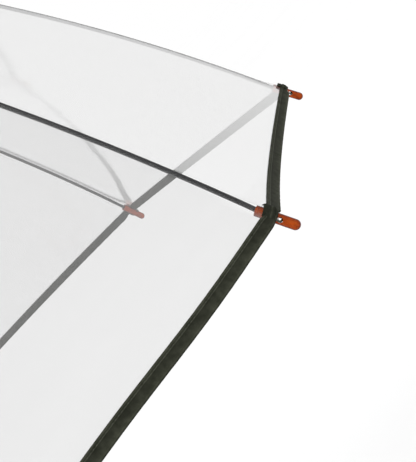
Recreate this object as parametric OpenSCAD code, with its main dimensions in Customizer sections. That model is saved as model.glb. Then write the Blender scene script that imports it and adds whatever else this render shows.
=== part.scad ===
// Stick umbrella with a clear, deep dome canopy, shown open.
// Millimetres, +Z up, origin at the middle of the grip, on the axis of the shaft.
// Ribs are numbered from the one on +X, counter-clockwise seen from above.

/* [Canopy] */
// Height of the hem plane above the middle of the grip
rim_z = 285; // [250:5:320]
// Distance from the shaft's axis to a corner of the hem
rim_r = 450; // [440:5:460]
// Slope of the canopy at the hem, in degrees below level
hem_slope = 68.5; // [66:0.5:70]
// Bend radius of the lower part of the canopy
hem_bend_r = 1510; // [1400:10:1600]
// Arc of the lower part of the canopy, in degrees
hem_arc = 10.6; // [10:0.1:11]
// Bend radius of the crown
crown_bend_r = 441; // [435:1:446]
// Thickness of the clear film
film_t = 0.4; // [0.3:0.1:0.6]
// Inward sag of the hem half way between two ribs
gore_sag = 6; // [2:1:10]
// Width of the fabric binding on the hem
binding_w = 9; // [7:0.5:11]

/* [Ribs] */
// Radius of a rib's rod
rod_r = 1.5; // [1.3:0.1:1.5]
// Distance from the canopy's surface in to the rod's centre
rod_inset = 3; // [3:0.5:4]
// Length of rod from the crown pivot to the joiner
inner_length = 300; // [290:5:310]
// Radius of the moulded tip
tip_r = 3.1; // [2.9:0.1:3.2]
// Length of the tip beyond the hem
tip_out = 16.7; // [15:0.1:18]
// Length of the tip inside the hem
tip_in = 9.3; // [8:0.1:11]
// Radius of the tip's cross hole
tip_hole_r = 1.6; // [1.2:0.1:1.8]

/* [Frame] */
// Distance from the shaft's axis to the pivots on the crown and the runner
pivot_r = 12; // [12:0.5:13]
// Radius of the shaft
shaft_r = 5; // [4.8:0.1:5]
// Radius of a stretcher
stretcher_r = 1.3; // [1.1:0.1:1.3]
// Outer radius of the runner's sleeve
sleeve_r = 8.6; // [8.4:0.1:8.8]
// Length of the runner's sleeve
sleeve_l = 34; // [28:1:40]

/* [Handle] */
// Radius of the grip
grip_r = 9; // [8:0.5:10]
// Half the length of the straight grip
grip_half = 45; // [40:5:50]
// Bend radius of the crook
crook_r = 38; // [36:1:42]
// Straight length after the bend
crook_end = 18; // [10:2:24]

/* [Hidden] */
$fn = 48;

ribs = 8;
half_gore = 180 / ribs;
clear = 0.3;
pin_r = 0.8;
wire_r = 0.8;
eye_t = 1.1;
fork_gap = 1.4;
cheek_t = 1;
slot_w = 3.6;

// The canopy's meridian is two tangent arcs in the plane of a rib. A point on one of them is given
// by its slope, in degrees below level.
knee_slope = hem_slope - hem_arc;
hem_c = [rim_r - hem_bend_r * sin(hem_slope), rim_z - hem_bend_r * cos(hem_slope)];
crown_c = hem_c + (hem_bend_r - crown_bend_r) * [sin(knee_slope), cos(knee_slope)];
hem_rod_r = hem_bend_r - rod_inset;
crown_rod_r = crown_bend_r - rod_inset;
function on_arc(c, r, slope) = c + r * [sin(slope), cos(slope)];
function along(slope) = [cos(slope), -sin(slope)];

// Pivots, as [distance from the axis, height]
notch_slope = asin((pivot_r - crown_c[0]) / crown_rod_r);
notch_p = on_arc(crown_c, crown_rod_r, notch_slope);
joiner_slope = notch_slope + inner_length / crown_rod_r * 180 / PI;
joiner_p = on_arc(crown_c, crown_rod_r, joiner_slope);
lug_drop = 6;
lug_p = on_arc(crown_c, crown_rod_r - lug_drop, joiner_slope);
hem_p = on_arc(hem_c, hem_rod_r, hem_slope);

// The stretcher is as long as the distance from the crown pivot to the lug, so the runner's pivots
// sit straight below the crown's at every angle of the rib.
link = lug_p - notch_p;
link_l = norm(link);
open_angle = atan2(link[0], -link[1]);
shut_angle = 1.5;
runner_z = notch_p[1] + 2 * link[1];
shut_z = notch_p[1] - 2 * link_l * cos(shut_angle);

// Lengths along the rod's line: the crown part, the knee and the hem
knee_l = (knee_slope - notch_slope) * PI / 180 * crown_rod_r;
hem_l = knee_l + hem_arc * PI / 180 * hem_rod_r;

// Slope and place of the canopy's line at length s from the crown pivot, e out from the rod's line
function slope_at(s) = s < knee_l
    ? notch_slope + s / crown_rod_r * 180 / PI
    : knee_slope + (s - knee_l) / hem_rod_r * 180 / PI;
function meridian(s, e) = s < knee_l
    ? on_arc(crown_c, crown_rod_r + e, slope_at(s))
    : on_arc(hem_c, hem_rod_r + e, slope_at(s));

// Point of the canopy, t across half a gore: 0 on the rib, 1 or -1 half way to the next one.
// The gore is a flat chord that sags in a little, in proportion to its width.
function gore_point(s, e, t) =
    let (
        m = meridian(s, e),
        far_r = m[0] * cos(half_gore) - gore_sag * m[0] / rim_r,
        far_a = half_gore * (1 - 0.0002)
    ) [
        m[0] + (far_r * cos(far_a) - m[0]) * abs(t),
        far_r * sin(far_a) * t - sign(t) * clear / 2 * abs(t),
        m[1]
    ];

// One closed solid: the outline, a list of [s, e], swept across the gore through the places in ts.
// The outline is a strip: its points pair up from both ends, so each end closes with a row of triangles.
module gore_solid(outline, ts) {
    n = len(outline);
    m = len(ts);
    last = (m - 1) * n;
    points = [for (t = ts) for (p = outline) gore_point(p[0], p[1], t)];
    sides = [
        for (j = [0:m - 2]) for (i = [0:n - 1])
            let (a = j * n + i, b = j * n + (i + 1) % n, c = a + n, d = b + n)
                each [[a, c, b], [b, c, d]]
    ];
    ends = [
        for (i = [0:n / 2 - 2])
            let (a = i, b = i + 1, c = n - 2 - i, d = n - 1 - i)
                each [
                    [a, b, c], [a, c, d],
                    [last + c, last + b, last + a], [last + d, last + c, last + a]
                ]
    ];
    polyhedron(points, concat(sides, ends));
}

// Lengths from s0 to s1 in n equal steps
function steps(s0, s1, n) = [for (i = [0:n]) s0 + (s1 - s0) * i / n];

// Outline of a sheet through the lengths in list, between e and e + t
function sheet_outline(list, e, t) = concat(
    [for (s = list) [s, e + t]],
    [for (i = [len(list) - 1:-1:0]) [list[i], e]]
);

module at_rib(k) {
    rotate([0, 0, 360 / ribs * (k - 1)]) children();
}

// Local frame at a point of a rib's plane: +X runs down the rib, +Y is the hinge line, +Z is outward
module at_point(p, slope) {
    translate([p[0], 0, p[1]]) rotate([0, slope, 0]) children();
}

module arc_rod(c, bend_r, slope0, slope1, r) {
    translate([c[0], 0, c[1]])
        rotate([90, 0, 0])
            rotate([0, 0, 90 - slope1])
                rotate_extrude(angle = slope1 - slope0, $fn = 96)
                    translate([bend_r, 0])
                        circle(r);
}

// Disc on the hinge line, of thickness t
module disc(r, t) {
    rotate([90, 0, 0]) cylinder(r = r, h = t, center = true);
}

module x_rod(x0, x1, r) {
    translate([x0, 0, 0]) rotate([0, 90, 0]) cylinder(r = r, h = x1 - x0);
}

module block(x0, x1, t, h) {
    translate([x0, -t / 2, -h / 2]) cube([x1 - x0, t, h]);
}

// Hub with a radial slot for each rib or stretcher
module slotted_hub(r, z0, z1) {
    difference() {
        translate([0, 0, z0]) cylinder(r = r, h = z1 - z0);
        for (k = [1:ribs])
            at_rib(k)
                translate([8.9, -slot_w / 2, z0 - 1])
                    cube([r, slot_w, z1 - z0 + 2]);
    }
}

module wire_ring(z) {
    translate([0, 0, z])
        rotate_extrude($fn = 96)
            translate([pivot_r, 0])
                circle(wire_r);
}

module wire_groove(z) {
    translate([0, 0, z])
        rotate_extrude($fn = 96)
            translate([pivot_r, 0])
                circle(wire_r + 0.05);
}

// ---- Shaft and crown ----

catch_w = 2.8;
catch_h = 14;
catch_angle = half_gore;
shaft_z0 = -19.8;
shaft_z1 = notch_p[1] + 14;
sleeve_z0 = runner_z - 6 - sleeve_l;
top_catch_z = sleeve_z0 - catch_h - 1.5;
bottom_catch_z = shut_z - 24;

module catch_slot(z) {
    rotate([0, 0, catch_angle])
        translate([0, -catch_w / 2 - 0.2, z - 1])
            cube([shaft_r + 1, catch_w + 0.4, catch_h + 2]);
}

module shaft_tube() {
    color("dimgray")
        difference() {
            translate([0, 0, shaft_z0]) cylinder(r = shaft_r, h = shaft_z1 - shaft_z0);
            translate([0, 0, shaft_z0 - 1]) cylinder(r = shaft_r - 0.6, h = shaft_z1 - shaft_z0 + 2);
            catch_slot(top_catch_z);
            catch_slot(bottom_catch_z);
        }
}

// Tongue with a sloping lower edge and a square upper edge that the runner rests on
module catch_tongue(z) {
    rotate([0, 0, catch_angle])
        translate([0, catch_w / 2, z])
            rotate([90, 0, 0])
                linear_extrude(catch_w)
                    polygon([[1.5, 0], [4.6, 0], [7.2, 9], [7.2, catch_h], [1.5, catch_h]]);
}

module top_catch() {
    color("silver") catch_tongue(top_catch_z);
}

module bottom_catch() {
    color("silver") catch_tongue(bottom_catch_z);
}

hub_r = 15.5;

module crown_notch() {
    z = notch_p[1];
    color("dimgray")
        difference() {
            slotted_hub(hub_r, z - 8, z + 2.2);
            translate([0, 0, z - 9]) cylinder(r = shaft_r + 0.05, h = 12);
            wire_groove(z);
        }
}

module notch_wire() {
    color("silver") wire_ring(notch_p[1]);
}

module top_cap() {
    z = notch_p[1];
    color("darkorange")
        rotate_extrude($fn = 96)
            polygon([
                [shaft_r + 0.1, z + 2.4], [9, z + 2.4], [10, z + 6.2], [27, z + 3.6],
                [27.4, z + 4.2], [24, z + 6.2], [14, z + 8.0], [shaft_r + 0.1, z + 8.4]
            ]);
}

ferrule_pin_r = 4;
ferrule_pin_l = 25;

module ferrule() {
    z = notch_p[1] + 8.6;
    color("darkorange")
        difference() {
            union() {
                translate([0, 0, z]) cylinder(r = 7, h = 10);
                translate([0, 0, z + 10]) cylinder(r = ferrule_pin_r, h = ferrule_pin_l);
                translate([0, 0, z + 10 + ferrule_pin_l]) sphere(ferrule_pin_r);
            }
            translate([0, 0, z - 1]) cylinder(r = shaft_r + 0.05, h = 1 + shaft_z1 - z + 0.2);
        }
}

// ---- Runner ----

runner_bore_r = shaft_r + 0.3;

module runner() {
    color("dimgray")
        difference() {
            union() {
                slotted_hub(hub_r, runner_z - 6, runner_z + 5);
                translate([0, 0, sleeve_z0]) cylinder(r = sleeve_r, h = sleeve_l + 1);
                translate([0, 0, sleeve_z0]) cylinder(r = sleeve_r + 0.5, h = 3);
            }
            translate([0, 0, sleeve_z0 - 1]) cylinder(r = runner_bore_r, h = sleeve_l + 20);
            rotate([0, 0, catch_angle])
                translate([0, -catch_w / 2 - 0.4, sleeve_z0 - 1])
                    cube([7.6, catch_w + 0.8, sleeve_l + 20]);
            wire_groove(runner_z);
        }
}

// The wire is left open in the slots, where the stretchers' eyes pass
module runner_wire() {
    color("silver")
        difference() {
            wire_ring(runner_z);
            for (k = [1:ribs])
                at_rib(k)
                    translate([5, -slot_w / 2, runner_z - 5])
                        cube([20, slot_w, 10]);
        }
}

// ---- Ribs ----

joiner_r = 2.6;
lug_r = 2.2;
rod_start = 4.2;

// Two cheeks with the pins for the outer rib, above, and for the stretcher, below
module joiner() {
    difference() {
        union() {
            for (side = [-1, 1])
                translate([0, side * (fork_gap + cheek_t) / 2, 0]) {
                    disc(joiner_r, cheek_t);
                    translate([0, 0, -lug_drop]) disc(lug_r, cheek_t);
                    translate([-1.8, -cheek_t / 2, -lug_drop]) cube([3.6, cheek_t, lug_drop]);
                    block(-7, 0, cheek_t, 3.6);
                }
            x_rod(-8, -rod_start, 2.1);
        }
        for (z = [0, -lug_drop])
            translate([0, 0, z]) disc(pin_r + 0.001, 10);
    }
    for (z = [0, -lug_drop])
        translate([0, 0, z]) disc(pin_r + 0.001, fork_gap + 2 * cheek_t + 0.6);
}

module rib_inner(k) {
    root = 2.2;
    root_w = 2.8;
    color("dimgray")
        at_rib(k) {
            difference() {
                union() {
                    arc_rod(crown_c, crown_rod_r, notch_slope, joiner_slope - 0.9, rod_r);
                    at_point(notch_p, notch_slope) disc(root, root_w);
                }
                at_point(notch_p, notch_slope) disc(wire_r + 0.25, 10);
            }
            at_point(joiner_p, joiner_slope) joiner();
        }
}

// Flat eye on a pin, that carries on as a short bar to the start of a rod of radius r
module rod_eye(r, eye_r) {
    difference() {
        union() {
            disc(eye_r, eye_t);
            block(0, rod_start + 2, eye_t, 2 * r);
            x_rod(rod_start, rod_start + 4, r + 0.3);
        }
        disc(pin_r + 0.15, 10);
    }
}

module rib_outer(k) {
    start = joiner_slope + (rod_start + 1) / crown_rod_r * 180 / PI;
    end = hem_slope + 1.5 / hem_rod_r * 180 / PI;
    color("dimgray")
        at_rib(k) {
            at_point(joiner_p, joiner_slope) rod_eye(rod_r, 2.3);
            arc_rod(crown_c, crown_rod_r, start, knee_slope, rod_r);
            arc_rod(hem_c, hem_rod_r, knee_slope, end, rod_r);
            at_point(on_arc(hem_c, hem_rod_r, knee_slope), knee_slope) x_rod(-3, 3, rod_r + 0.3);
        }
}

// The tips are pushed on and sewn to the hem by hand, so they differ: how far each has turned on its
// rod, and how far the hem pulls it outward of the rod's end, both in degrees
tip_turns = [-29, 4, -9, 12, 5, -14, 8, -6];
tip_leans = [7, 4.5, 1, 3, 4, 2.5, 3.5, 5];
lean_x = -3.5;

// Moulded tip with a blind bore for the rod and a cross hole for the thread
module rib_tip(k) {
    hole_x = binding_w / 2 + 0.8;
    color("darkorange")
        at_rib(k)
            at_point(hem_p, hem_slope)
                difference() {
                    translate([lean_x, 0, 0])
                        rotate([0, -tip_leans[k - 1], 0])
                            difference() {
                                union() {
                                    x_rod(-tip_in - lean_x, tip_out - tip_r - lean_x, tip_r);
                                    translate([tip_out - tip_r - lean_x, 0, 0]) sphere(tip_r);
                                }
                                translate([hole_x - lean_x, 0, 0])
                                    rotate([tip_turns[k - 1], 0, 0])
                                        disc(tip_hole_r, 10);
                            }
                    x_rod(-tip_in - 2, 2, rod_r + 0.15);
                }
}

module stretcher(k) {
    slope = 90 + open_angle;
    color("dimgray")
        at_rib(k)
            at_point(lug_p, slope)
                difference() {
                    union() {
                        rod_eye(stretcher_r, 2);
                        x_rod(rod_start + 1, link_l, stretcher_r);
                        translate([link_l, 0, 0]) disc(2.2, 2.6);
                    }
                    translate([link_l, 0, 0]) disc(wire_r + 0.25, 10);
                }
}

// ---- Canopy ----

film_e = 5.0;
film_s0 = 8;
joint_s = inner_length;
tape_t = 0.5;
tape_gap = 0.15;
full_ts = [-1, -0.5, 0, 0.5, 1];

module canopy_inner(k) {
    color("gainsboro", 0.4)
        at_rib(k)
            gore_solid(sheet_outline(steps(film_s0, joint_s - clear / 2, 9), film_e, film_t), full_ts);
}

// Fabric folded over the edge of the film, open towards the crown
function binding_outline(s0, s1, e0, e1) = [
    [s0, e1], [s1, e1], [s1, e0], [s0, e0],
    [s0, e0 + tape_t], [s1 - tape_t, e0 + tape_t], [s1 - tape_t, e1 - tape_t], [s0, e1 - tape_t]
];

module canopy_outer(k) {
    s1 = hem_l + binding_w / 2;
    s0 = s1 - binding_w;
    e0 = film_e - tape_t - tape_gap;
    e1 = film_e + film_t + tape_t + tape_gap;
    rows = concat(steps(joint_s + clear / 2, s0, 8), [s1 - tape_t - tape_gap]);
    at_rib(k) {
        color("gainsboro", 0.4)
            gore_solid(sheet_outline(rows, film_e, film_t), full_ts);
        color("darkolivegreen")
            gore_solid(binding_outline(s0, s1, e0, e1), full_ts);
    }
}

// Closing strap, sewn and snapped flat against the outside of one gore, above the hem
strap_w = 18;
strap_rib = 6;

module tie_strap() {
    e = film_e + film_t + 0.4;
    s1 = hem_l - binding_w / 2 - 5;
    m = gore_point(s1 - strap_w / 2, e + 1, 0.9);
    at_rib(strap_rib) {
        color("darkolivegreen")
            gore_solid(sheet_outline([s1 - strap_w, s1], e, 0.9), [0.14, 0.5, 0.97]);
        color("silver")
            translate(m)
                rotate([0, 0, half_gore])
                    rotate([0, slope_at(s1), 0])
                        translate([0, 0, 0.6])
                            cylinder(r = 5, h = 2.4);
    }
}

// ---- Handle ----

module crook_handle() {
    color("darkorange")
        difference() {
            union() {
                translate([0, 0, -grip_half]) cylinder(r = grip_r, h = 2 * grip_half);
                translate([-crook_r, 0, -grip_half])
                    rotate([90, 0, 0])
                        rotate([0, 0, 180])
                            rotate_extrude(angle = 180, $fn = 96)
                                translate([crook_r, 0])
                                    circle(grip_r);
                translate([-2 * crook_r, 0, -grip_half]) cylinder(r = grip_r, h = crook_end);
                translate([-2 * crook_r, 0, crook_end - grip_half]) sphere(grip_r);
            }
            translate([0, 0, -20]) cylinder(r = shaft_r + 0.05, h = grip_half + 30);
        }
}

module handle_collar() {
    color("silver")
        rotate_extrude($fn = 96)
            polygon([
                [shaft_r + 0.05, grip_half + 0.1], [grip_r + 0.6, grip_half + 0.1],
                [grip_r + 0.6, grip_half + 6], [7.4, grip_half + 12], [shaft_r + 0.05, grip_half + 12]
            ]);
}

shaft_tube();
crown_notch();
notch_wire();
ferrule();
top_cap();
runner();
runner_wire();
top_catch();
bottom_catch();
crook_handle();
handle_collar();
tie_strap();
for (k = [1:ribs]) {
    rib_inner(k);
    rib_outer(k);
    rib_tip(k);
    stretcher(k);
    canopy_inner(k);
    canopy_outer(k);
}
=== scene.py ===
"""Clear dome umbrella: film canopy, taped hem, dark rods, amber tips and crook, in the CAD frame."""
import math

import bmesh
import bpy
from mathutils import Matrix, Vector


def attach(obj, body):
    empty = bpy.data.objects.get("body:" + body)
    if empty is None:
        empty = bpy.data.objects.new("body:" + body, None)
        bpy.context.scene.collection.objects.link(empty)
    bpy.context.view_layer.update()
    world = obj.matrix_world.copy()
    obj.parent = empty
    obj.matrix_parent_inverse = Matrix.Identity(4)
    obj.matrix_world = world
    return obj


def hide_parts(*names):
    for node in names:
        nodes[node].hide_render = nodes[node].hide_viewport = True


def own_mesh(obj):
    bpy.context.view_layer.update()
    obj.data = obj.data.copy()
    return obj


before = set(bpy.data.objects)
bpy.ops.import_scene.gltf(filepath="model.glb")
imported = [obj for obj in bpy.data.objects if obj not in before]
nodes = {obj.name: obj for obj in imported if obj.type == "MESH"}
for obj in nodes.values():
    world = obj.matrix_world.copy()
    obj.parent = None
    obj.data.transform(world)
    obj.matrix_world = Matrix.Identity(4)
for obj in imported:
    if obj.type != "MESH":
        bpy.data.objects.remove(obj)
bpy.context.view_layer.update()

# ---- Driving sizes, in metres and degrees ----

RIBS = 8
RIM_R = 0.450  # axis to a corner of the hem
RIM_Z = 0.285  # height of the hem's corners
HEM_SLOPE = 68.5  # degrees below level at the hem
HEM_BEND = 1.510  # radius of the rib's bend beside the hem
HEM_ARC = 10.6  # degrees that it turns through there
CROWN_BEND = 0.441  # radius of the rib's bend above that, up to the crown
ROD_INSET = 0.003  # film down to the middle of a rod
ROD_R = 0.0015
TIP_R = 0.0031
JOINER_SLOPE = 47.3  # degrees below level at the joiner, where a rib's two rods meet
TAPE_W = 0.0078  # width of the folded tape that binds the hem
TAPE_T = 0.0005
FOLD_R = 0.0006  # inside the tape's fold
TAPE_FLAT = 2 * TAPE_W + 0.0019  # width of the tape before it is folded
STITCH_IN = 0.0019  # stitch row in from the tape's inner edge
HALF_HEM = 0.172  # half the length of hem between two corners
TIP_IN = 0.0093  # length of a tip inside the hem's line
LEAN_X = -0.0035  # where a tip leans from, past the hem's line
TIP_LEANS = [7, 4.5, 1, 3, 4, 2.5, 3.5, 5]  # degrees that the hem pulls each tip outward of its rod
TIP_TURNS = [-29, 4, -9, 12, 5, -14, 8, -6]  # degrees that each tip has turned on its rod
HOLE_X = 0.0053  # a tip's cross hole, beyond the hem's line
CUT_BEHIND = (2, 5, 7)  # corners where the tape's cut end lies on the clockwise side
HALF_GORE = math.pi / RIBS
FILM_EDGE = 0.0135  # the film's centre hole, under the cap

# Each gore's hem between two ribs: how far its middle hangs below the corners, how far that bows in, and
# how far the stretches on either side of it bulge out
HEM_DROP = [0.0057, -0.0028, -0.0043, 0.0010, -0.0020, 0.0020, -0.0010, 0.0011]
HEM_BOW = [0.0110, 0.0102, 0.0102, 0.0090, 0.0095, 0.0100, 0.0090, 0.0109]
HEM_BULGE = [0, 0, 0, 0.0004, 0, 0.0006, 0, 0.0034]
BOW_POWER = [1.0, 1.0, 1.0, 1.1, 1.3, 1.0, 1.2, 3.5]  # over 1, the hem stays straighter beside its corners
BULGE_END = 0.85  # share of the way to mid-gore
FILM_GAP = 0.0002  # film off the rod under it
TOUCH_R = 0.0030  # film this close to a rib's plane lies on the rod, where its haze and gloss are cut as painted shade
OVER_TIP = 0.0004  # film over a tip, out from the canopy's line
STRAP_T = 0.0009


# ---- The canopy's surface ----

def radians(degrees):
    return degrees * math.pi / 180


KNEE_SLOPE = HEM_SLOPE - HEM_ARC
HEM_C = Vector((
    RIM_R - HEM_BEND * math.sin(radians(HEM_SLOPE)),
    RIM_Z - HEM_BEND * math.cos(radians(HEM_SLOPE)),
))
CROWN_C = HEM_C + (HEM_BEND - CROWN_BEND) * Vector((
    math.sin(radians(KNEE_SLOPE)),
    math.cos(radians(KNEE_SLOPE)),
))
CROWN_START = math.degrees(math.asin((FILM_EDGE - CROWN_C.x) / CROWN_BEND))
JOINER_S = radians(JOINER_SLOPE - CROWN_START) * CROWN_BEND
KNEE_S = radians(KNEE_SLOPE - CROWN_START) * CROWN_BEND
HEM_S = KNEE_S + radians(HEM_ARC) * HEM_BEND  # length of film from its centre hole to the hem's corner


def slope_at(s):
    """Slope in radians, below level, at length s down the film from its centre hole."""
    if s < KNEE_S:
        return radians(CROWN_START) + s / CROWN_BEND
    return radians(KNEE_SLOPE) + (s - KNEE_S) / HEM_BEND


def meridian(s, out):
    """(distance from the axis, height) at length s on a rib's line, out metres outside it."""
    a = slope_at(s)
    centre, bend = (CROWN_C, CROWN_BEND) if s < KNEE_S else (HEM_C, HEM_BEND)
    return centre + (bend + out) * Vector((math.sin(a), math.cos(a)))


def gore_number(k, t):
    """The gore on the side of rib k that t is on: gore 1 lies between ribs 1 and 2."""
    return k - 1 if t >= 0 else (k - 2) % RIBS


def ease(x):
    """0 up to x = 0, 1 from x = 1, and a smooth rise between."""
    x = min(1.0, max(0.0, x))
    return x * x * (3 - 2 * x)


def over_rib(s):
    """How far outside the canopy's line the film lies on a rib: down on the rod, and up over its tip."""
    up = ease((s - (HEM_S - 0.022)) / 0.012)
    return (ROD_R + FILM_GAP - ROD_INSET) * (1 - up) + OVER_TIP * up


def canopy_point(k, t, s, out=0.0):
    """Point on the canopy: t is -1 and 1 half way to the next ribs and 0 on rib k."""
    gore = gore_number(k, t)
    side = abs(t)
    m = meridian(s, out + over_rib(s) * (1 - side) ** 2)
    near_hem = (s / HEM_S) ** 2
    middle = 1 - (1 - side) ** 2
    chord_r = m.x * math.cos(HALF_GORE)
    x = m.x + (chord_r * math.cos(HALF_GORE) - m.x) * side
    y = chord_r * math.sin(HALF_GORE) * side
    inward = HEM_BOW[gore] * near_hem * middle ** BOW_POWER[gore]
    inward -= HEM_BULGE[gore] * near_hem * math.sin(math.pi * min(side / BULGE_END, 1.0)) ** 2
    x -= inward * math.cos(HALF_GORE)
    y -= inward * math.sin(HALF_GORE)
    z = m.y - HEM_DROP[gore] * near_hem * near_hem * middle
    turn = Matrix.Rotation(2 * HALF_GORE * (k - 1), 3, "Z")
    return turn @ Vector((x, math.copysign(y, t), z))


def tangent(k):
    """Direction along the hem at rib k."""
    a = 2 * HALF_GORE * (k - 1)
    return Vector((-math.sin(a), math.cos(a), 0))


def rib_point(k, s, out=0.0):
    return canopy_point(k, 0.0, s, out)


def rib_frame(k, s, out):
    """Place at length s on rib k: X runs down the rib, Y along the hem, Z out of the canopy."""
    a = slope_at(s)
    m = meridian(s, out)
    place = Matrix.Translation((m.x, 0, m.y)) @ Matrix.Rotation(a, 4, "Y")
    return Matrix.Rotation(2 * HALF_GORE * (k - 1), 4, "Z") @ place


# ---- Mesh helpers ----

def piece(name, bm, material, body):
    """A finished piece from a bmesh, riding on a body."""
    mesh = bpy.data.meshes.new(name)
    bm.to_mesh(mesh)
    bm.free()
    for face in mesh.polygons:
        face.use_smooth = True
    obj = bpy.data.objects.new(name, mesh)
    bpy.context.scene.collection.objects.link(obj)
    mesh.materials.append(material)
    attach(obj, body)
    return obj


def solidify(obj, thickness):
    mod = obj.modifiers.new("thickness", "SOLIDIFY")
    mod.thickness = thickness
    mod.offset = 0.0


def patch(columns, rows, place, flip=False):
    """A grid of columns by rows cells, with UVs, whose corners place(u, v) puts in the frame."""
    bm = bmesh.new()
    bmesh.ops.create_grid(bm, x_segments=columns, y_segments=rows, size=1.0)
    uv = bm.loops.layers.uv.new("UVMap")
    for face in bm.faces:
        for loop in face.loops:
            loop[uv].uv = ((loop.vert.co.x + 1) / 2, (loop.vert.co.y + 1) / 2)
    for vert in bm.verts:
        vert.co = place((vert.co.x + 1) / 2, (vert.co.y + 1) / 2)
    if flip:
        bmesh.ops.reverse_faces(bm, faces=bm.faces)
    return bm


def ring(bm, place, radius, segments):
    """Corners of a ring in the XY plane of a place."""
    return bmesh.ops.create_circle(bm, segments=segments, radius=radius, matrix=place)["verts"]


def close_round(bm, rings):
    """Faces from each ring to the next, and one over each end."""
    count = len(rings[0])
    for a, b in zip(rings, rings[1:]):
        for i in range(count):
            bm.faces.new((a[i], a[(i + 1) % count], b[(i + 1) % count], b[i]))
    bmesh.ops.contextual_create(bm, geom=rings[0])
    bmesh.ops.contextual_create(bm, geom=rings[-1])
    bmesh.ops.recalc_face_normals(bm, faces=bm.faces)


# ---- Materials ----

def new_material(name):
    mat = bpy.data.materials.new(name)
    mat.use_nodes = True
    mat.node_tree.nodes.clear()
    return mat, mat.node_tree


def node(tree, kind, **settings):
    """A shader node: each setting goes to its input of that name, or else to its property."""
    n = tree.nodes.new(kind)
    for key, value in settings.items():
        if key in n.inputs:
            n.inputs[key].default_value = value
        else:
            setattr(n, key, value)
    return n


def link(tree, a, out, b, into):
    tree.links.new(a.outputs[out], b.inputs[into])


def noise(tree, coords, output, scale, detail=3.0):
    n = tree.nodes.new("ShaderNodeTexNoise")
    n.inputs["Scale"].default_value = scale
    n.inputs["Detail"].default_value = detail
    link(tree, coords, output, n, "Vector")
    return n


def ramp(tree, source, output, stops):
    """Colour ramp whose stops are (place, colour)."""
    r = tree.nodes.new("ShaderNodeValToRGB")
    while len(r.color_ramp.elements) < len(stops):
        r.color_ramp.elements.new(0.5)
    for element, (place, colour) in zip(r.color_ramp.elements, stops):
        element.position = place
        element.color = (*colour, 1)
    link(tree, source, output, r, "Fac")
    return r


def grey(value):
    return (value, value, value)


def clear_film():
    """Thin clear film: see-through with a faint milkiness, and mirror-like where it is seen at a slant. Where
    it lies on a rod its haze and gloss are cut, as painted shade, and its haze is painted lighter where its
    inner side is seen, as painted light.
    """
    mat, tree = new_material("clear_film")
    coords = node(tree, "ShaderNodeTexCoord")
    facing = node(tree, "ShaderNodeLayerWeight", Blend=0.5)
    milk_share = ramp(tree, facing, "Facing", [
        (0.0, grey(0.31)), (0.13, grey(0.33)), (0.69, grey(0.60)), (0.86, grey(0.36)), (0.95, grey(0.04)),
        (1.0, grey(0.0))])
    cloud = noise(tree, coords, "Object", 5.0, 2.0)
    vary = node(tree, "ShaderNodeMapRange")
    vary.inputs["To Min"].default_value = 0.93
    vary.inputs["To Max"].default_value = 1.07
    link(tree, cloud, "Fac", vary, "Value")
    # Painted shade: where the film lies on a rod its haze and gloss are cut, standing in for the rod blocking
    # the light scattered through the film in front of it.
    rod_shade_mask = node(tree, "ShaderNodeAttribute", attribute_name="rod_shade_mask")
    rod_shade_on_haze = node(tree, "ShaderNodeMapRange")
    rod_shade_on_haze.inputs["To Min"].default_value = 1.0
    rod_shade_on_haze.inputs["To Max"].default_value = 0.18
    link(tree, rod_shade_mask, "Fac", rod_shade_on_haze, "Value")
    uneven_and_rod_shade = node(tree, "ShaderNodeMath", operation="MULTIPLY")
    tree.links.new(rod_shade_on_haze.outputs["Result"], uneven_and_rod_shade.inputs[0])
    tree.links.new(vary.outputs["Result"], uneven_and_rod_shade.inputs[1])
    share = node(tree, "ShaderNodeMath", operation="MULTIPLY", use_clamp=True)
    tree.links.new(milk_share.outputs["Color"], share.inputs[0])
    tree.links.new(uneven_and_rod_shade.outputs["Value"], share.inputs[1])
    through = node(tree, "ShaderNodeBsdfTransparent", Color=(0.985, 0.985, 0.985, 1))
    side = node(tree, "ShaderNodeNewGeometry")
    # Painted light: the haze is lighter where the film's inner side is seen than where its outer side is.
    painted_inner_light = ramp(tree, side, "Backfacing", [(0.0, grey(0.50)), (1.0, grey(0.80))])
    milk = node(tree, "ShaderNodeBsdfTranslucent")
    link(tree, painted_inner_light, "Color", milk, "Color")
    film = node(tree, "ShaderNodeMixShader")
    tree.links.new(share.outputs["Value"], film.inputs[0])
    tree.links.new(through.outputs["BSDF"], film.inputs[1])
    tree.links.new(milk.outputs["BSDF"], film.inputs[2])
    ripple = noise(tree, coords, "Object", 16.0, 3.0)
    bump = node(tree, "ShaderNodeBump", Strength=0.08, Distance=0.003)
    link(tree, ripple, "Fac", bump, "Height")
    gloss = node(tree, "ShaderNodeBsdfGlossy", Roughness=0.07, Color=(1, 1, 1, 1))
    link(tree, bump, "Normal", gloss, "Normal")
    mirror = ramp(tree, facing, "Facing", [
        (0.0, grey(0.015)), (0.13, grey(0.02)), (0.40, grey(0.12)), (0.69, grey(0.50)), (0.86, grey(0.30)),
        (0.95, grey(0.04)), (1.0, grey(0.0))])
    rod_shade_on_gloss = node(tree, "ShaderNodeMapRange")
    rod_shade_on_gloss.inputs["To Min"].default_value = 1.0
    rod_shade_on_gloss.inputs["To Max"].default_value = 0.45
    link(tree, rod_shade_mask, "Fac", rod_shade_on_gloss, "Value")
    mirror_share = node(tree, "ShaderNodeMath", operation="MULTIPLY", use_clamp=True)
    tree.links.new(mirror.outputs["Color"], mirror_share.inputs[0])
    tree.links.new(rod_shade_on_gloss.outputs["Result"], mirror_share.inputs[1])
    shiny = node(tree, "ShaderNodeMixShader")
    tree.links.new(mirror_share.outputs["Value"], shiny.inputs[0])
    tree.links.new(film.outputs["Shader"], shiny.inputs[1])
    tree.links.new(gloss.outputs["BSDF"], shiny.inputs[2])
    out = node(tree, "ShaderNodeOutputMaterial")
    link(tree, shiny, "Shader", out, "Surface")
    return mat


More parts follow.
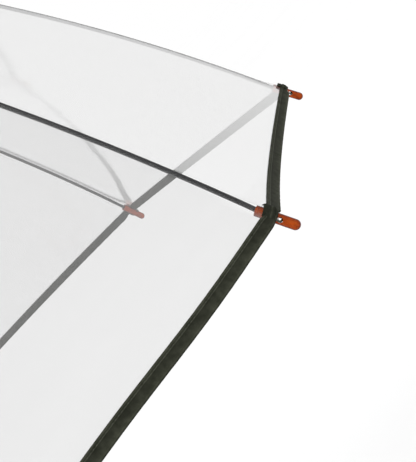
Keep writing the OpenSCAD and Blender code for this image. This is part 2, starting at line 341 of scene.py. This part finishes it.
def enamel_rod():
    """Dark grey enamelled rod, glossy, with a faint mottle and scuffs."""
    mat, tree = new_material("enamel_rod")
    coords = node(tree, "ShaderNodeTexCoord")
    mottle = noise(tree, coords, "Object", 140.0)
    colour = ramp(tree, mottle, "Fac", [(0.3, (0.010, 0.010, 0.011)), (0.8, (0.018, 0.018, 0.019))])
    shader = node(tree, "ShaderNodeBsdfPrincipled")
    shader.inputs["Specular IOR Level"].default_value = 0.22
    link(tree, colour, "Color", shader, "Base Color")
    rough = ramp(tree, mottle, "Fac", [(0.2, grey(0.26)), (0.9, grey(0.40))])
    link(tree, rough, "Color", shader, "Roughness")
    out = node(tree, "ShaderNodeOutputMaterial")
    link(tree, shader, "BSDF", out, "Surface")
    return mat


def amber_plastic(name, dark, light, core):
    """Burnt-orange moulding that carries some light under its surface; seen face on, its middle is painted
    lighter, and its edges, seen at a slant, are painted darker: painted light and shade.
    """
    mat, tree = new_material(name)
    coords = node(tree, "ShaderNodeTexCoord")
    streak = node(tree, "ShaderNodeMapping")
    streak.inputs["Scale"].default_value = (1.0, 1.0, 0.3)
    link(tree, coords, "Object", streak, "Vector")
    cloud = noise(tree, streak, "Vector", 420.0)
    colour = ramp(tree, cloud, "Fac", [(0.25, dark), (0.75, light)])
    # Painted light and shade by the angle the surface is seen at: lighter face on, darker towards the edges.
    edge = node(tree, "ShaderNodeLayerWeight", Blend=0.5)
    painted_edge_shade = ramp(tree, edge, "Facing", [
        (0.0, (1.12, 1.15, 1.1)), (0.30, (0.92, 0.85, 0.8)), (0.55, (0.48, 0.36, 0.3)),
        (0.8, (0.22, 0.12, 0.1))])
    painted_shade_colour = node(tree, "ShaderNodeMix", data_type="RGBA", blend_type="MULTIPLY")
    painted_shade_colour.inputs[0].default_value = 1.0
    tree.links.new(colour.outputs["Color"], painted_shade_colour.inputs[6])
    tree.links.new(painted_edge_shade.outputs["Color"], painted_shade_colour.inputs[7])
    shader = node(tree, "ShaderNodeBsdfPrincipled", Roughness=0.16, IOR=1.49)
    shader.inputs["Specular IOR Level"].default_value = 0.12
    shader.inputs["Subsurface Weight"].default_value = core
    shader.inputs["Subsurface Radius"].default_value = (0.003, 0.0007, 0.0002)
    shader.inputs["Subsurface Scale"].default_value = 1.0
    tree.links.new(painted_shade_colour.outputs[2], shader.inputs["Base Color"])
    fine = noise(tree, coords, "Object", 900.0, 2.0)
    bump = node(tree, "ShaderNodeBump", Strength=0.12, Distance=0.0002)
    link(tree, fine, "Fac", bump, "Height")
    link(tree, bump, "Normal", shader, "Normal")
    out = node(tree, "ShaderNodeOutputMaterial")
    link(tree, shader, "BSDF", out, "Surface")
    return mat


def olive_tape():
    """Woven olive tape, painted in lighter and darker bands across its width: darker at its fold and beside
    its stitch groove as painted shade, and lighter in lines along it, partly worn by rubbing and partly
    painted highlight.
    """
    mat, tree = new_material("olive_tape")
    uv = node(tree, "ShaderNodeUVMap", uv_map="UVMap")
    split = node(tree, "ShaderNodeSeparateXYZ")
    link(tree, uv, "UV", split, "Vector")
    coords = node(tree, "ShaderNodeTexCoord")
    mottle = noise(tree, coords, "Object", 260.0, 4.0)
    broad = noise(tree, coords, "Object", 45.0, 2.0)
    # Bands across the tape: the dark ones are painted shade, the light lines partly wear and partly painted
    # highlight.
    wear_and_painted_light = ramp(tree, split, "Y", [
        (0.0, grey(0.60)), (0.50, grey(0.48)), (0.53, grey(0.66)), (0.565, grey(1.0)), (0.61, grey(0.76)),
        (0.72, grey(0.62)), (0.80, grey(0.56)), (0.85, grey(0.48)), (0.885, grey(1.15)), (0.925, grey(0.60)),
        (0.965, grey(0.98)), (1.0, grey(0.50))])
    wear_and_painted_light.color_ramp.interpolation = "EASE"
    base = ramp(tree, mottle, "Fac", [(0.28, (0.034, 0.037, 0.025)), (0.72, (0.066, 0.070, 0.050))])
    patchy = ramp(tree, broad, "Fac", [(0.3, grey(0.82)), (0.7, grey(1.12))])
    tone = node(tree, "ShaderNodeMix", data_type="RGBA", blend_type="MULTIPLY")
    tone.inputs[0].default_value = 1.0
    tree.links.new(base.outputs["Color"], tone.inputs[6])
    tree.links.new(wear_and_painted_light.outputs["Color"], tone.inputs[7])
    colour = node(tree, "ShaderNodeMix", data_type="RGBA", blend_type="MULTIPLY")
    colour.inputs[0].default_value = 1.0
    tree.links.new(tone.outputs[2], colour.inputs[6])
    tree.links.new(patchy.outputs["Color"], colour.inputs[7])
    stretch = node(tree, "ShaderNodeMapping")
    stretch.inputs["Scale"].default_value = (170.0, 20.0, 1.0)
    stretch.inputs["Rotation"].default_value = (0, 0, 0.05)
    link(tree, uv, "UV", stretch, "Vector")
    warp = node(tree, "ShaderNodeTexWave", Scale=1.0, bands_direction="X")
    weft = node(tree, "ShaderNodeTexWave", Scale=1.0, bands_direction="Y")
    link(tree, stretch, "Vector", warp, "Vector")
    link(tree, stretch, "Vector", weft, "Vector")
    weave = node(tree, "ShaderNodeMath", operation="MULTIPLY")
    tree.links.new(warp.outputs["Fac"], weave.inputs[0])
    tree.links.new(weft.outputs["Fac"], weave.inputs[1])
    height = node(tree, "ShaderNodeMath", operation="ADD")
    tree.links.new(weave.outputs["Value"], height.inputs[0])
    tree.links.new(mottle.outputs["Fac"], height.inputs[1])
    bump = node(tree, "ShaderNodeBump", Strength=0.55, Distance=0.0003)
    link(tree, height, "Value", bump, "Height")
    shader = node(tree, "ShaderNodeBsdfPrincipled", Roughness=0.85)
    shader.inputs["Specular IOR Level"].default_value = 0.06
    tree.links.new(colour.outputs[2], shader.inputs["Base Color"])
    link(tree, bump, "Normal", shader, "Normal")
    out = node(tree, "ShaderNodeOutputMaterial")
    link(tree, shader, "BSDF", out, "Surface")
    return mat


def plain_finish(name, dark, light, roughness, metallic=0.0, scale=160.0):
    """Mottled plastic, thread or metal, between two colours."""
    mat, tree = new_material(name)
    coords = node(tree, "ShaderNodeTexCoord")
    mottle = noise(tree, coords, "Object", scale)
    colour = ramp(tree, mottle, "Fac", [(0.3, dark), (0.75, light)])
    rough = ramp(tree, mottle, "Fac", [(0.2, grey(roughness * 0.8)), (0.9, grey(min(1.0, roughness * 1.25)))])
    bump = node(tree, "ShaderNodeBump", Strength=0.25, Distance=0.0001)
    link(tree, mottle, "Fac", bump, "Height")
    shader = node(tree, "ShaderNodeBsdfPrincipled", Metallic=metallic)
    link(tree, colour, "Color", shader, "Base Color")
    link(tree, rough, "Color", shader, "Roughness")
    link(tree, bump, "Normal", shader, "Normal")
    out = node(tree, "ShaderNodeOutputMaterial")
    link(tree, shader, "BSDF", out, "Surface")
    return mat


FILM = clear_film()
ROD = enamel_rod()
TIP = amber_plastic("amber_tip", (0.17, 0.022, 0.0008), (0.42, 0.066, 0.0026), 0.25)
HANDLE = amber_plastic("amber_handle", (0.24, 0.033, 0.0025), (0.36, 0.056, 0.0045), 0.25)
TAPE = olive_tape()
THREAD = plain_finish("hem_thread", (0.026, 0.028, 0.019), (0.065, 0.068, 0.047), 0.75, scale=900.0)
BLACK = plain_finish("black_moulding", (0.012, 0.012, 0.013), (0.022, 0.022, 0.023), 0.38)
STEEL = plain_finish("spring_steel", (0.50, 0.50, 0.49), (0.66, 0.66, 0.65), 0.26, metallic=1.0)
CHROME = plain_finish("bright_collar", (0.78, 0.78, 0.78), (0.86, 0.86, 0.86), 0.10, metallic=1.0, scale=90.0)


def paint(name, material):
    nodes[name].data.materials.clear()
    nodes[name].data.materials.append(material)


for name, material in {
    "shaft_tube": ROD, "crown_notch": BLACK, "notch_wire": STEEL, "ferrule": HANDLE, "top_cap": HANDLE,
    "runner": BLACK, "runner_wire": STEEL, "top_catch": STEEL, "bottom_catch": STEEL,
    "crook_handle": HANDLE, "handle_collar": CHROME,
}.items():
    paint(name, material)
for k in range(1, RIBS + 1):
    paint(f"rib_inner_{k}", ROD)
    paint(f"rib_outer_{k}", ROD)
    paint(f"stretcher_{k}", ROD)
    paint(f"rib_tip_{k}", TIP)


# ---- Film ----

def spread(u):
    """Across a gore pair, -1 to 1, with the columns closer together beside the rib."""
    x = 2 * u - 1
    return math.copysign(abs(x) ** 2.2, x)


def film_patch(k, s0, s1, rows):
    """A sheet of film, marked with how closely each point lies on the rod and the tip under it; the mark
    paints shade, cutting the film's haze and gloss over the rod.
    """
    bm = patch(48, rows, lambda u, v: canopy_point(k, spread(u), s0 + (s1 - s0) * v), flip=True)
    rod_shade_mask = bm.verts.layers.float.new("rod_shade_mask")
    out_of_plane = tangent(k)
    tip_height = rib_point(k, HEM_S - TIP_IN).z
    for vert in bm.verts:
        off = vert.co.dot(out_of_plane)
        near_tip = ease((tip_height + 0.024 - vert.co.z) / 0.022)
        lifted = near_tip * ease((off + 0.0006) / 0.0012)
        vert[rod_shade_mask] = (1 - lifted) * math.exp(-((abs(off) / (TOUCH_R + 0.0022 * near_tip)) ** 4))
    return bm


def squeeze(obj, k):
    """Gives the piece its own copy of its mesh; the joiner's point on rib k is worked out but not used."""
    rib_point(k, JOINER_S)
    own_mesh(obj)


for k in range(1, RIBS + 1):
    crown = piece(f"film_crown_{k}", film_patch(k, 0.0, JOINER_S, 26), FILM, f"rib_{k}")
    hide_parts(f"canopy_inner_{k}")
    squeeze(crown, k)
    in_tape = HEM_S + TAPE_W / 2 - TAPE_T
    skirt = piece(f"film_skirt_{k}", film_patch(k, JOINER_S, in_tape, 34), FILM, f"rib_end_{k}")
    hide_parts(f"canopy_outer_{k}")
    squeeze(skirt, k)


# ---- Hem binding ----

def tape_profile(v):
    """(length past the hem's line, height off the film) round the folded tape, inner edge to outer edge."""
    turn = math.pi * FOLD_R
    d = v * (2 * TAPE_W + turn)
    if d < TAPE_W:
        return -TAPE_W / 2 + d, -FOLD_R
    if d < TAPE_W + turn:
        a = (d - TAPE_W) / FOLD_R
        return TAPE_W / 2 + FOLD_R * math.sin(a), -FOLD_R * math.cos(a)
    return TAPE_W / 2 - (d - TAPE_W - turn), FOLD_R


def tape_gather(k, t, past):
    """The tape is cut and tucked at each corner: its width there, as a share of the whole."""
    d = t * HALF_HEM * (-1 if k in CUT_BEHIND else 1)
    if past > 0:
        return 0.10 + 0.90 * ease((abs(d) + (0.004 if d > 0 else 0.010)) / 0.020)
    if d > 0:
        return 0.15 + 0.85 * ease((d - 0.0042) / 0.0016)
    return 0.30 + 0.70 * ease((-d - 0.0008) / 0.0075)


def tape_point(k, t, v, lift=0.0):
    """Point on the folded tape, with its stitched groove, its puckers and its crumpled ends."""
    past, height = tape_profile(v)
    d = t * HALF_HEM
    over_tip = 0.0008 * math.exp(-((d / 0.0055) ** 2))
    groove = 0.0
    if v > 0.5:
        from_edge = (1 - v) * TAPE_FLAT
        groove = -0.00030 * math.exp(-(((from_edge - STITCH_IN) / 0.0007) ** 2))
        groove += 0.00022 * math.exp(-(((from_edge - 0.0008) / 0.0009) ** 2))
    loose = 1 - t * t
    pucker = 0.00016 * loose * (math.sin(d * 520 + k) + 0.6 * math.sin(d * 1130 + 2 * k + 40 * past))
    crumple = 0.00035 * math.exp(-((d / 0.006) ** 2)) * math.sin(d * 2600 + 900 * past + k)
    rise = height + groove + over_tip + pucker + crumple + lift
    return canopy_point(k, t, HEM_S + past * tape_gather(k, t, past), rise)


def hem_length(steps=40):
    """Length of hem that one rib's tape binds."""
    places = [canopy_point(1, -1 + 2 * i / steps, HEM_S) for i in range(steps + 1)]
    return sum((b - a).length for a, b in zip(places, places[1:]))


HEM_LENGTH = hem_length()
STITCH_PITCH = 0.0026
STITCH_R = 0.00028
STITCH_SHOWN = 0.72  # share of the pitch that lies on the tape


def fine_spread(u):
    """Along a rib's hem, -1 to 1, with the columns closer together beside the tip."""
    x = 2 * u - 1
    return math.copysign(abs(x) ** 1.6, x)


def stitch_row(k):
    """Lock stitches lying in the tape's groove, each a short rounded bar."""
    bm = bmesh.new()
    count = int(HEM_LENGTH / STITCH_PITCH)
    v = 1 - STITCH_IN / TAPE_FLAT
    for i in range(count):
        t0 = -1 + 2 * (i + (1 - STITCH_SHOWN) / 2) / count
        t1 = -1 + 2 * (i + (1 + STITCH_SHOWN) / 2) / count
        a = tape_point(k, t0, v, TAPE_T / 2 + 0.0001)
        b = tape_point(k, t1, v, TAPE_T / 2 + 0.0001)
        middle = (a + b) / 2
        aim = (b - a).to_track_quat("Z", "Y").to_matrix().to_4x4()
        made = bmesh.ops.create_icosphere(bm, subdivisions=1, radius=1.0)
        size = Matrix.Diagonal((STITCH_R, STITCH_R, (b - a).length / 2, 1))
        bmesh.ops.transform(bm, matrix=Matrix.Translation(middle) @ aim @ size, verts=made["verts"])
    return bm


for k in range(1, RIBS + 1):
    bm = patch(180, 44, lambda u, v: tape_point(k, fine_spread(u), v))
    tape = piece(f"hem_tape_{k}", bm, TAPE, f"rib_end_{k}")
    solidify(tape, TAPE_T)
    squeeze(tape, k)
    stitches = piece(f"hem_stitches_{k}", stitch_row(k), THREAD, f"rib_end_{k}")
    squeeze(stitches, k)


# ---- Sewn corners: a tuck of tape round each tip, and the thread through the tip's cross hole ----

def tip_frame(k):
    """Place on tip k's axis level with the hem's line: X runs to its end, Y lies along its cross hole."""
    place = rib_frame(k, HEM_S, -ROD_INSET)
    lean_at = Matrix.Translation((LEAN_X, 0, 0))
    lean = lean_at @ Matrix.Rotation(-radians(TIP_LEANS[k - 1]), 4, "Y") @ lean_at.inverted()
    return place @ lean


def corner_tuck(k):
    """Short end of tape pulled round the top of the tip and crumpled by its stitches."""
    place = tip_frame(k)
    hand = -1 if k in CUT_BEHIND else 1

    def at(u, v):
        around = hand * radians(-70 + 136 * u)
        along = -0.0053 + 0.0084 * v - 0.0012 * u + 0.0008 * math.sin(3.1 * u + k)
        crease = 0.00042 * math.sin(17 * v + 5 * u + k) * math.sin(9 * u + 6 * v)
        r = TIP_R + 0.0021 + crease - 0.0005 * (2 * v - 1) ** 2
        return place @ Vector((along, r * math.sin(around), r * math.cos(around)))

    return patch(30, 18, at, flip=hand > 0)


def tube(bm, points, radius):
    """Round thread along a line of points."""
    rings = []
    for i, point in enumerate(points):
        aim = points[min(i + 1, len(points) - 1)] - points[max(i - 1, 0)]
        turn = aim.to_track_quat("Z", "Y").to_matrix().to_4x4()
        rings.append(ring(bm, Matrix.Translation(point) @ turn, radius, 8))
    close_round(bm, rings)


THREAD_R = 0.0006
THREAD_REACH = 0.0058  # from the tip's axis to the tape on either side
LEAVES_HOLE = 0.55  # share of the way, from the tip's axis, at which the thread turns back to the tape


def corner_thread(k):
    """Thread from the tape, through the cross hole and back to the tape on the other side."""
    place = tip_frame(k) @ Matrix.Rotation(radians(TIP_TURNS[k - 1]), 4, "X")
    points = []
    for i in range(29):
        y = -1 + i / 14
        reach = max(0.0, (abs(y) - LEAVES_HOLE) / 0.45)
        side = THREAD_REACH * abs(y) / LEAVES_HOLE if reach == 0 else THREAD_REACH - 0.0018 * reach
        # The thread lies in the outer side of the hole, away from the hem: it is real thread, and there its
        # dark colour also stands in for the shade on the hole's inner wall, as painted shade.
        x = HOLE_X + 0.0007 - 0.0059 * reach ** 1.5
        points.append(place @ Vector((x, math.copysign(min(side, 0.0046), y), 0.0006 * math.sin(3 * y))))
    bm = bmesh.new()
    tube(bm, points, THREAD_R)
    return bm


for k in range(1, RIBS + 1):
    tuck = piece(f"corner_tuck_{k}", corner_tuck(k), TAPE, f"rib_end_{k}")
    solidify(tuck, TAPE_T)
    piece(f"corner_thread_{k}", corner_thread(k), THREAD, f"rib_end_{k}")


# ---- Closing strap ----

STRAP_RIB = 6
STRAP_W = 0.018
STRAP_S = HEM_S - TAPE_W / 2 - 0.006 - STRAP_W
SNAP_RINGS = ((0.0050, 0.0003), (0.0055, 0.0009), (0.0052, 0.0016), (0.0036, 0.0020), (0.0016, 0.0021))


def strap_point(u, v):
    """Point on the strap: u is 0 at its sewn end and 1 at its free end."""
    t = 0.14 + 0.83 * u
    rise = 0.0016 + 0.0012 * math.sin(math.pi * u) ** 2
    return canopy_point(STRAP_RIB, t, STRAP_S + STRAP_W * v, rise)


strap = piece("closing_strap", patch(48, 10, strap_point, flip=True), TAPE, "rib_end_6")
solidify(strap, STRAP_T)
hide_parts("tie_strap")
squeeze(strap, STRAP_RIB)


def strap_snap():
    """Cap of the press stud near the strap's free end."""
    middle = strap_point(0.90, 0.5)
    along = strap_point(0.95, 0.5) - strap_point(0.85, 0.5)
    across = strap_point(0.90, 0.7) - strap_point(0.90, 0.3)
    out = along.cross(across).normalized()
    if out.dot(middle - Vector((0, 0, RIM_Z))) < 0:
        out = -out
    turn = out.to_track_quat("Z", "Y").to_matrix().to_4x4()
    bm = bmesh.new()
    close_round(bm, [ring(bm, Matrix.Translation(middle + out * h) @ turn, r, 40) for r, h in SNAP_RINGS])
    return bm


snap = piece("strap_snap", strap_snap(), STEEL, "rib_end_6")
squeeze(snap, STRAP_RIB)


# ---- Floor, light and camera ----

def area_light(name, place, target, size, power):
    data = bpy.data.lights.new(name, "AREA")
    data.shape = "RECTANGLE"
    data.size, data.size_y = size
    data.energy = power
    light = bpy.data.objects.new(name, data)
    light.location = place
    light.rotation_euler = (Vector(target) - Vector(place)).to_track_quat("-Z", "Y").to_euler()
    bpy.context.scene.collection.objects.link(light)
    return light


FLOOR_Z = -0.0935  # just under the crook


def studio():
    """Plain white room: a pale floor, even light all round and two soft lamps."""
    scene = bpy.context.scene
    world = bpy.data.worlds.new("studio")
    scene.world = world
    world.use_nodes = True
    tree = world.node_tree
    tree.nodes.clear()
    path = node(tree, "ShaderNodeLightPath")
    seen = node(tree, "ShaderNodeBackground", Color=(1, 1, 1, 1), Strength=1.0)
    lit = node(tree, "ShaderNodeBackground", Color=(1, 1, 1, 1), Strength=1.06)
    mix = node(tree, "ShaderNodeMixShader")
    tree.links.new(path.outputs["Is Camera Ray"], mix.inputs["Fac"])
    tree.links.new(lit.outputs["Background"], mix.inputs[1])
    tree.links.new(seen.outputs["Background"], mix.inputs[2])
    out = node(tree, "ShaderNodeOutputWorld")
    link(tree, mix, "Shader", out, "Surface")
    scene.view_settings.view_transform = "Standard"

    bm = bmesh.new()
    bmesh.ops.create_grid(bm, x_segments=4, y_segments=4, size=12.0)
    bmesh.ops.translate(bm, verts=bm.verts, vec=(0, 0, FLOOR_Z))
    mesh = bpy.data.meshes.new("floor")
    bm.to_mesh(mesh)
    bm.free()
    floor = bpy.data.objects.new("floor", mesh)
    scene.collection.objects.link(floor)
    mesh.materials.append(plain_finish("pale_floor", (0.93, 0.93, 0.93), (0.95, 0.95, 0.95), 0.9, scale=3.0))

    area_light("key", (1.7, -1.6, 2.0), (0.3, 0, 0.35), (0.45, 0.45), 8)
    area_light("side", (-1.8, -1.2, 1.6), (0, 0, 0.4), (0.4, 0.4), 4)


CAMERA_RIGHT = Vector((0.58943, 0.32904, -0.73776))
CAMERA_UP = Vector((0.51818, 0.54662, 0.65779))
CAMERA_PLACE = Vector((1.827 * RIM_R, -1.1318 * RIM_R, 0.2604 * RIM_R + RIM_Z))
LENS = 92.65
SHIFT_X = -0.0017
SHIFT_Y = -0.0052


def camera():
    data = bpy.data.cameras.new("camera")
    data.lens = LENS
    data.sensor_width = 36
    data.clip_start = 0.01
    data.shift_x = SHIFT_X
    data.shift_y = SHIFT_Y
    cam = bpy.data.objects.new("camera", data)
    back = CAMERA_RIGHT.cross(CAMERA_UP)
    turn = Matrix((CAMERA_RIGHT, CAMERA_UP, back)).transposed()
    cam.matrix_world = Matrix.Translation(CAMERA_PLACE) @ turn.to_4x4()
    bpy.context.scene.collection.objects.link(cam)
    bpy.context.scene.camera = cam


studio()
camera()
